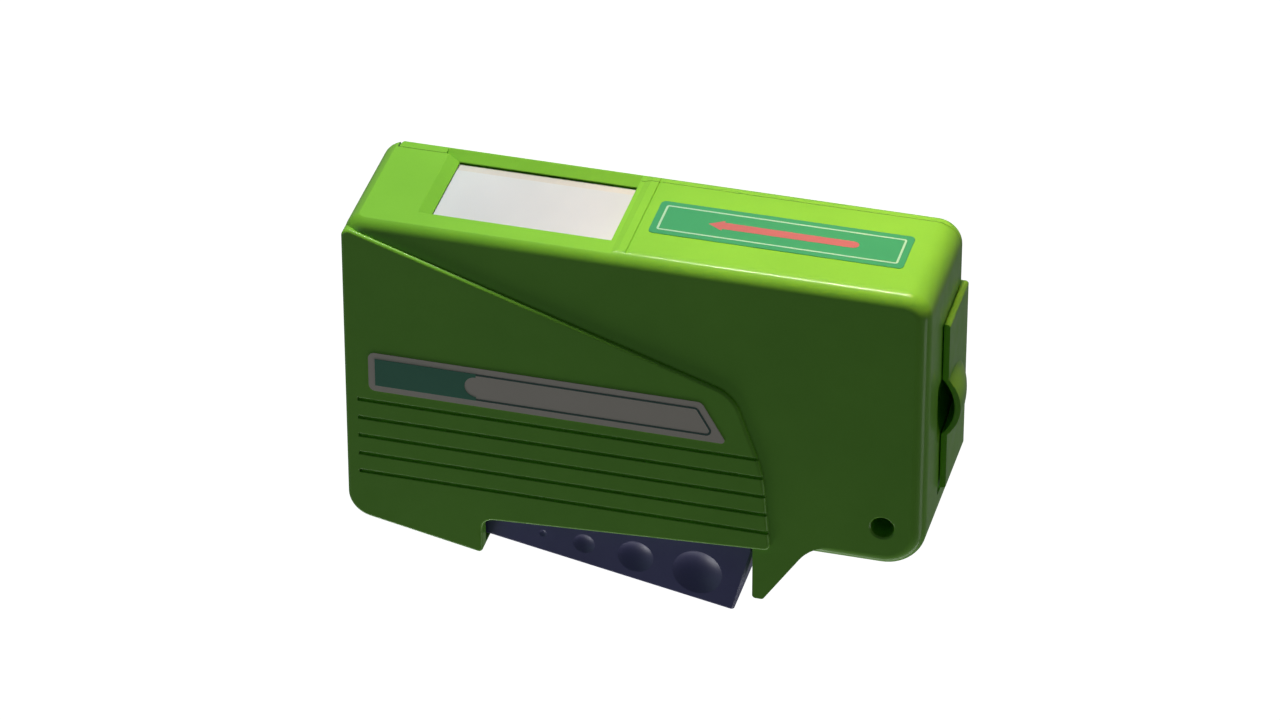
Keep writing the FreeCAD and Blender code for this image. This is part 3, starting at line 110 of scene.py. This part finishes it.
# Lamps in metres, watts and degrees: place, aim, width, height, power, tint, spread of the beam
WHITE = (1.0, 1.0, 1.0)
MIDDLE = (0.0, 0.0, 0.015)
ALL_ROUND = 180.0
LAMPS = {
    # Low over the window side, with the highlight along the upper front edge
    "key": ((-0.01, 0.40, 0.011), (-0.01, 0.0, 0.011), 0.15, 0.018, 1.2, (1.0, 0.98, 0.95), ALL_ROUND),
    # Yellow tone on the right of the window side
    "warm": ((0.05, 0.24, 0.012), (0.048, 0.03, 0.012), 0.03, 0.018, 0.02, (1.0, 0.5, 0.2), 50.0),
    # Cool fill for the front, which lies in shade
    "card": ((-0.95, -0.4, 1.05), MIDDLE, 0.9, 0.9, 1.0, (0.74, 1.0, 1.12), ALL_ROUND),
    # Edges on the lever side
    "rim": ((0.25, -1.1, 0.1), MIDDLE, 1.2, 0.24, 2.4, WHITE, ALL_ROUND),
    # Crescents in the lever's dimples
    "under": ((-0.27, -0.56, 0.13), MIDDLE, 0.12, 0.12, 0.45, WHITE, ALL_ROUND),
    # Rounding between the front and the right end
    "side": ((0.64, -0.45, 0.19), MIDDLE, 0.25, 0.25, 0.3, WHITE, ALL_ROUND),
}

# Photograph's camera, in the object's own axes
CAMERA_RIGHT = (0.96624, -0.00031, -0.25764)
CAMERA_UP = (-0.14506, 0.82579, -0.54501)
CAMERA_BACK = (0.21293, 0.56398, 0.79786)
CAMERA_EYE = (0.2735, 0.72905, 1.0495)
CAMERA_LENS = 187.83
CAMERA_SENSOR = 36.0
CAMERA_REACH = 20.0


class Nodes:
    """A node tree, with short calls that add nodes to it and link them."""

    def __init__(self, tree):
        self.tree = tree

    def give(self, node, socket, value):
        """Link an output to a socket, or set the socket to a plain value."""
        target = node.inputs[socket]
        if isinstance(value, bpy.types.NodeSocket):
            self.tree.links.new(value, target)
        elif isinstance(value, tuple) and len(value) == 3 and target.type == "RGBA":
            target.default_value = (*value, 1.0)
        else:
            target.default_value = value

    def add(self, kind, settings=None, **sockets):
        """New node with its settings, and with values or links for its sockets."""
        node = self.tree.nodes.new(kind)
        for name, value in (settings or {}).items():
            setattr(node, name, value)
        for socket, value in sockets.items():
            self.give(node, socket, value)
        return node

    def math(self, operation, first, second):
        """Result of a sum on two values."""
        node = self.add("ShaderNodeMath", {"operation": operation})
        self.give(node, 0, first)
        self.give(node, 1, second)
        return node.outputs["Value"]

    def seen(self, mirrored):
        """One to the camera and through glass, a share of it in reflections, and nothing to other light."""
        path = self.add("ShaderNodeLightPath")
        clear = self.math("MAXIMUM", path.outputs["Is Camera Ray"], path.outputs["Is Transmission Ray"])
        return self.math("MAXIMUM", clear, self.math("MULTIPLY", path.outputs["Is Glossy Ray"], mirrored))


class Finish(Nodes):
    """A Principled material together with the nodes that give it detail."""

    def __init__(self, name, **sockets):
        self.material = bpy.data.materials.new(name)
        self.material.use_nodes = True
        super().__init__(self.material.node_tree)
        self.shader = self.tree.nodes["Principled BSDF"]
        self.place = self.add("ShaderNodeTexCoord").outputs["Object"]
        for socket, value in sockets.items():
            self.give(self.shader, socket.replace("_", " "), value)

    def noise(self, size, detail=3.0, stretch=(1.0, 1.0, 1.0)):
        """Cloudy pattern with features of about that size in millimetres."""
        place = self.add("ShaderNodeMapping", Vector=self.place, Scale=stretch).outputs["Vector"]
        node = self.add("ShaderNodeTexNoise", Vector=place, Scale=1.0 / (size * MM), Detail=detail)
        return node.outputs["Fac"]

    def span(self, value, low, high, start=0.3, end=0.7):
        """Value brought from one range to another."""
        node = self.add("ShaderNodeMapRange", Value=value)
        for socket, number in [("From Min", start), ("From Max", end), ("To Min", low), ("To Max", high)]:
            node.inputs[socket].default_value = number
        return node.outputs["Result"]

    def blend(self, factor, first, second):
        """Colour between two others."""
        node = self.add("ShaderNodeMix", {"data_type": "RGBA"})
        self.give(node, MIX_FACTOR, factor)
        self.give(node, MIX_FIRST, first)
        self.give(node, MIX_SECOND, second)
        return node.outputs[MIX_RESULT]

    def relief(self, height, depth, strength, edge=0.0):
        """Bump of a depth in millimetres, over edges that look rounded by a radius."""
        node = self.add("ShaderNodeBump", Height=height, Strength=strength, Distance=depth * MM)
        if edge:
            soft = self.add("ShaderNodeBevel", {"samples": 4}, Radius=edge * MM)
            self.give(node, "Normal", soft.outputs["Normal"])
        self.give(self.shader, "Normal", node.outputs["Normal"])


def moulded(name, light, dark, rough, grain, edge, **sockets):
    """Moulded plastic: slow colour drift, fine grain and uneven gloss."""
    finish = Finish(name, **sockets)
    drift = finish.span(finish.noise(size=22.0, detail=2.0), low=0.0, high=1.0)
    speck = finish.span(finish.noise(size=0.5, detail=2.0), low=-0.12, high=0.12)
    tone = finish.math("ADD", drift, speck)
    finish.give(finish.shader, "Base Color", finish.blend(tone, dark, light))
    gloss = finish.noise(size=3.5, detail=4.0)
    finish.give(finish.shader, "Roughness", finish.span(gloss, low=rough - 0.05, high=rough + 0.06))
    finish.relief(finish.noise(grain, detail=3.0), depth=0.02, strength=0.25, edge=edge)
    return finish.material


def woven(name, light, dark, pitch):
    """Fine cloth: crossing threads, and broad soft lighter streaks painted into its colour as sheen."""
    finish = Finish(name, Sheen_Weight=0.25, Sheen_Roughness=0.4)
    threads = []
    for direction in ("X", "Z"):
        wave = finish.add("ShaderNodeTexWave", {"bands_direction": direction}, Vector=finish.place,
                          Scale=WAVE_PERIOD / (pitch * MM), Distortion=1.2, Detail=2.0)
        wave.inputs["Detail Scale"].default_value = 0.6
        threads.append(wave.outputs["Fac"])
    weave = finish.math("MULTIPLY", threads[0], threads[1])
    # Painted sheen: broad soft lighter streaks in the base colour stand in for soft reflections on the
    # ribbon
    painted_sheen = finish.span(finish.noise(size=16.0, detail=2.0, stretch=(1.0, 1.0, 0.5)), low=0.0, high=0.75)
    tone = finish.math("ADD", painted_sheen, finish.math("MULTIPLY", weave, 0.25))
    finish.give(finish.shader, "Base Color", finish.blend(tone, dark, light))
    finish.give(finish.shader, "Roughness", finish.span(weave, low=0.75, high=0.55, start=0.0, end=1.0))
    finish.relief(weave, depth=0.03, strength=0.5)
    return finish.material


def drawn_steel(name, light, dark):
    """Steel wire and pins: bright, with fine lines along the round."""
    finish = Finish(name, Metallic=1.0)
    lines = finish.noise(size=0.25, detail=3.0, stretch=(1.0, 1.0, 0.15))
    finish.give(finish.shader, "Base Color", finish.blend(lines, dark, light))
    finish.give(finish.shader, "Roughness", finish.span(lines, low=0.22, high=0.42))
    finish.relief(lines, depth=0.01, strength=0.3)
    return finish.material


def film(name, light, dark, rough, **sockets):
    """Printed label film: even colour with faint mottling and small ripples."""
    finish = Finish(name, **sockets)
    mottle = finish.span(finish.noise(size=9.0, detail=1.0), low=0.0, high=1.0, start=0.0, end=1.0)
    finish.give(finish.shader, "Base Color", finish.blend(mottle, dark, light))
    gloss = finish.noise(size=6.0, detail=1.0)
    uneven = finish.span(gloss, low=rough - 0.03, high=rough + 0.03, start=0.1, end=0.9)
    finish.give(finish.shader, "Roughness", uneven)
    finish.relief(finish.noise(size=8.0, detail=1.0), depth=0.008, strength=0.2)
    return finish.material


MATERIALS = {
    "case_green": moulded("case_green", light=(0.25, 0.64, 0.045), dark=(0.225, 0.59, 0.04),
                          rough=0.38, grain=0.35, edge=0.25,
                          Specular_IOR_Level=0.25, Coat_Weight=0.25, Coat_Roughness=0.1),
    "lever_navy": moulded("lever_navy", light=(0.12, 0.115, 0.32), dark=(0.105, 0.10, 0.28),
                          rough=0.38, grain=0.3, edge=0.25, Specular_IOR_Level=0.45),
    "reel_plastic": moulded("reel_plastic", light=(0.78, 0.78, 0.74), dark=(0.72, 0.72, 0.68),
                            rough=0.45, grain=0.4, edge=0.15),
    "drive_plastic": moulded("drive_plastic", light=(0.56, 0.57, 0.59), dark=(0.48, 0.49, 0.51),
                             rough=0.4, grain=0.4, edge=0.12),
    "tape_cloth": woven("tape_cloth", light=(0.72, 0.765, 0.80), dark=(0.62, 0.665, 0.70), pitch=0.32),
    "felt": woven("felt", light=(0.36, 0.36, 0.37), dark=(0.27, 0.27, 0.28), pitch=0.5),
    "pad_foam": moulded("pad_foam", light=(0.72, 0.71, 0.68), dark=(0.62, 0.61, 0.58),
                        rough=0.8, grain=0.6, edge=0.2),
    "steel": drawn_steel("steel", light=(0.66, 0.65, 0.63), dark=(0.42, 0.42, 0.43)),
    "label_silver": film("label_silver", light=(0.90, 0.76, 0.66), dark=(0.86, 0.72, 0.625),
                         rough=0.42, Metallic=0.05),
    "label_green": film("label_green", light=(0.048, 0.37, 0.15), dark=(0.042, 0.345, 0.14),
                        rough=0.3, Specular_IOR_Level=0.4),
}
PRINTS = {
    "print_line": film("print_line", light=(0.05, 0.12, 0.10), dark=(0.04, 0.10, 0.085), rough=0.4),
    "print_teal": film("print_teal", light=(0.085, 0.35, 0.22), dark=(0.07, 0.31, 0.19), rough=0.35),
    "print_pale": film("print_pale", light=(0.42, 0.74, 0.52), dark=(0.36, 0.67, 0.46), rough=0.3),
    "print_red": film("print_red", light=(0.54, 0.155, 0.155), dark=(0.50, 0.14, 0.135), rough=0.3),
}
SLOTS = {part["node"]: part["material_slot"] for part in frame["record"]["subparts"]}

for name, node in nodes.items():
    node.data.materials.clear()
    node.data.materials.append(MATERIALS[SLOTS[name]])


def on_front(x, y, level):
    """Point of the front view at a height over the back face."""
    return Vector((x - CASE_LENGTH / 2, y + CASE_HEIGHT / 2, level)) * MM


def on_top(x, z, level):
    """Point of the window side, at a height over it."""
    return Vector((x - CASE_LENGTH / 2, CASE_HEIGHT / 2 + level, z)) * MM


def rounded(corners, radius):
    """Closed run of points through corners, each rounded by a radius."""
    points = [Vector(corner) for corner in corners]
    run = []
    for index, here in enumerate(points):
        back = (points[index - 1] - here).normalized()
        ahead = (points[(index + 1) % len(points)] - here).normalized()
        half = back.angle(ahead) / 2
        centre = here + (back + ahead).normalized() * (radius / math.sin(half))
        first = (here + back * (radius / math.tan(half)) - centre).normalized()
        last = (here + ahead * (radius / math.tan(half)) - centre).normalized()
        for step in range(ARC_STEPS + 1):
            run.append(centre + first.slerp(last, step / ARC_STEPS) * radius)
    return run


def inset(corners, distance):
    """Corners of an outline moved inwards (the outline runs anticlockwise)."""
    points = [Vector(corner) for corner in corners]
    moved = []
    for index, here in enumerate(points):
        back = (here - points[index - 1]).normalized()
        ahead = (points[(index + 1) % len(points)] - here).normalized()
        normals = Vector((-back.y, back.x)), Vector((-ahead.y, ahead.x))
        reach = distance / (1 + normals[0].dot(normals[1]))
        moved.append(here + (normals[0] + normals[1]) * reach)
    return moved


def arc(centre, radius, start, end, steps=ARC_STEPS):
    """Points on an arc, angles in degrees."""
    angles = [math.radians(start + (end - start) * step / steps) for step in range(steps + 1)]
    return [Vector((centre[0] + radius * math.cos(a), centre[1] + radius * math.sin(a))) for a in angles]


def strip(shape, first, second):
    """Faces between two closed runs of as many points."""
    for index, start in enumerate(first):
        after = (index + 1) % len(first)
        shape.faces.new([start, first[after], second[after], second[index]])


def printed(name, loops, place, level, finish):
    """Raised print: one outline filled, or the band between two outlines of as many points."""
    shape = bmesh.new()
    low, high = [[[shape.verts.new(place(p.x, p.y, level + rise)) for p in loop] for loop in loops]
                 for rise in (0.0, PRINT_THICK)]
    for rings in (low, high):
        if len(rings) == 1:
            shape.faces.new(rings[0])
        else:
            strip(shape, *rings)
    for below, above in zip(low, high):
        strip(shape, below, above)
    bmesh.ops.recalc_face_normals(shape, faces=list(shape.faces))
    mesh = bpy.data.meshes.new(name)
    shape.to_mesh(mesh)
    shape.free()
    piece = bpy.data.objects.new(name, mesh)
    bpy.context.scene.collection.objects.link(piece)
    mesh.materials.append(PRINTS[finish])
    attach(piece, "case")


def print_front_label():
    """Thin line round the label and a dark field at its left end with a round bite."""
    edge = [(LABEL_LEFT, LABEL_BOTTOM), (LABEL_RIGHT + LABEL_SLANT, LABEL_BOTTOM),
            (LABEL_RIGHT, LABEL_TOP), (LABEL_LEFT, LABEL_TOP)]
    outer = inset(edge, LABEL_MARGIN)
    inner = inset(edge, LABEL_MARGIN + LINE_WIDTH)
    printed("front_label_line", [rounded(outer, LINE_ROUND), rounded(inner, LINE_ROUND - LINE_WIDTH)],
            on_front, LABEL_LEVEL, "print_line")
    low = LABEL_BOTTOM + LABEL_MARGIN
    high = LABEL_TOP - LABEL_MARGIN
    left = LABEL_LEFT + LABEL_MARGIN
    middle = (low + high) / 2
    bite = arc((FIELD_RIGHT, middle), FIELD_BITE, 270, 90, BITE_STEPS)
    field = [Vector((left, high)), Vector((left, low)), Vector((FIELD_RIGHT, low)), *bite,
             Vector((FIELD_RIGHT, high))]
    printed("front_label_field", [field], on_front, LABEL_LEVEL + PRINT_THICK, "print_teal")


def print_arrow_label():
    """Pale line round the label and a red arrow that shows which way the tape is wiped."""
    edge = [(ARROW_LEFT, ARROW_LOW), (ARROW_RIGHT, ARROW_LOW),
            (ARROW_RIGHT, ARROW_HIGH), (ARROW_LEFT, ARROW_HIGH)]
    outer = inset(edge, ARROW_MARGIN)
    inner = inset(edge, ARROW_MARGIN + ARROW_LINE)
    printed("arrow_label_line", [rounded(outer, ARROW_ROUND), rounded(inner, ARROW_ROUND - ARROW_LINE)],
            on_top, ARROW_LEVEL, "print_pale")
    middle = (ARROW_LOW + ARROW_HIGH) / 2
    half = ARROW_SHAFT / 2
    barb = half * ARROW_BARB
    neck = ARROW_TIP + ARROW_HEAD
    shape = [Vector((ARROW_TIP, middle)), Vector((neck, middle - barb)), Vector((neck, middle - half))]
    shape += arc((ARROW_TAIL - half, middle), half, -90, 90)
    shape += [Vector((neck, middle + half)), Vector((neck, middle + barb))]
    printed("arrow", [shape], on_top, ARROW_LEVEL, "print_red")


def wind_lever_spring():
    """Lever spring: a copy of the part's mesh, fixed where it stands, in place of the hidden part."""
    spring = bpy.data.objects.new("lever_spring_coil", nodes["lever_spring"].data.copy())
    bpy.context.scene.collection.objects.link(spring)
    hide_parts("lever_spring")
    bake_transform(spring)


def make_floor():
    """Pale floor that looks white to the camera, is faint in reflections and keeps the shadow."""
    mesh = bpy.data.meshes.new("floor")
    corners = [(-FLOOR_HALF, -FLOOR_HALF, 0), (FLOOR_HALF, -FLOOR_HALF, 0),
               (FLOOR_HALF, FLOOR_HALF, 0), (-FLOOR_HALF, FLOOR_HALF, 0)]
    mesh.from_pydata(corners, [], [(0, 1, 2, 3)])
    floor = bpy.data.objects.new("floor", mesh)
    floor.location.z = FLOOR_LEVEL
    bpy.context.scene.collection.objects.link(floor)
    finish = Finish("floor", Roughness=0.9, Emission_Color=WHITE)
    tone = finish.blend(finish.noise(size=400.0), FLOOR_DARK, FLOOR_LIGHT)
    finish.give(finish.shader, "Base Color", tone)
    glow = finish.math("MULTIPLY", finish.seen(FLOOR_MIRRORED), FLOOR_GLOW)
    finish.give(finish.shader, "Emission Strength", glow)
    mesh.materials.append(finish.material)


def make_world():
    """White to the camera, faint in reflections and dim to the object."""
    world = bpy.data.worlds.new("studio")
    world.use_nodes = True
    studio = Nodes(world.node_tree)
    dim = studio.tree.nodes["Background"]
    studio.give(dim, "Color", WORLD_TINT)
    studio.give(dim, "Strength", WORLD_STRENGTH)
    white = studio.add("ShaderNodeBackground", Color=WHITE)
    mix = studio.add("ShaderNodeMixShader")
    for socket, value in enumerate([studio.seen(WORLD_MIRRORED), dim.outputs[0], white.outputs[0]]):
        studio.give(mix, socket, value)
    studio.give(studio.tree.nodes["World Output"], "Surface", mix.outputs[0])
    bpy.context.scene.world = world


def make_lamp(name, place, aim, width, height, power, tint, spread):
    """Soft box that faces a point, with a beam as wide as its spread in degrees."""
    light = bpy.data.lights.new(name, "AREA")
    light.shape = "RECTANGLE"
    light.size = width
    light.size_y = height
    light.energy = power
    light.color = tint
    light.spread = math.radians(spread)
    lamp = bpy.data.objects.new(name, light)
    lamp.location = place
    lamp.rotation_euler = (Vector(aim) - Vector(place)).to_track_quat("-Z", "Y").to_euler()
    bpy.context.scene.collection.objects.link(lamp)


def make_camera():
    """Camera at the photograph's place, turned as it was there."""
    data = bpy.data.cameras.new("camera")
    data.lens = CAMERA_LENS
    data.sensor_width = CAMERA_SENSOR
    data.clip_end = CAMERA_REACH
    camera = bpy.data.objects.new("camera", data)
    turn = Matrix((CAMERA_RIGHT, CAMERA_UP, CAMERA_BACK)).transposed()
    camera.matrix_world = Matrix.Translation(CAMERA_EYE) @ turn.to_4x4()
    bpy.context.scene.collection.objects.link(camera)
    bpy.context.scene.camera = camera


print_front_label()
print_arrow_label()
wind_lever_spring()

make_floor()
make_world()
for name, lamp in LAMPS.items():
    make_lamp(name, *lamp)
make_camera()
bpy.context.scene.view_settings.view_transform = "Standard"
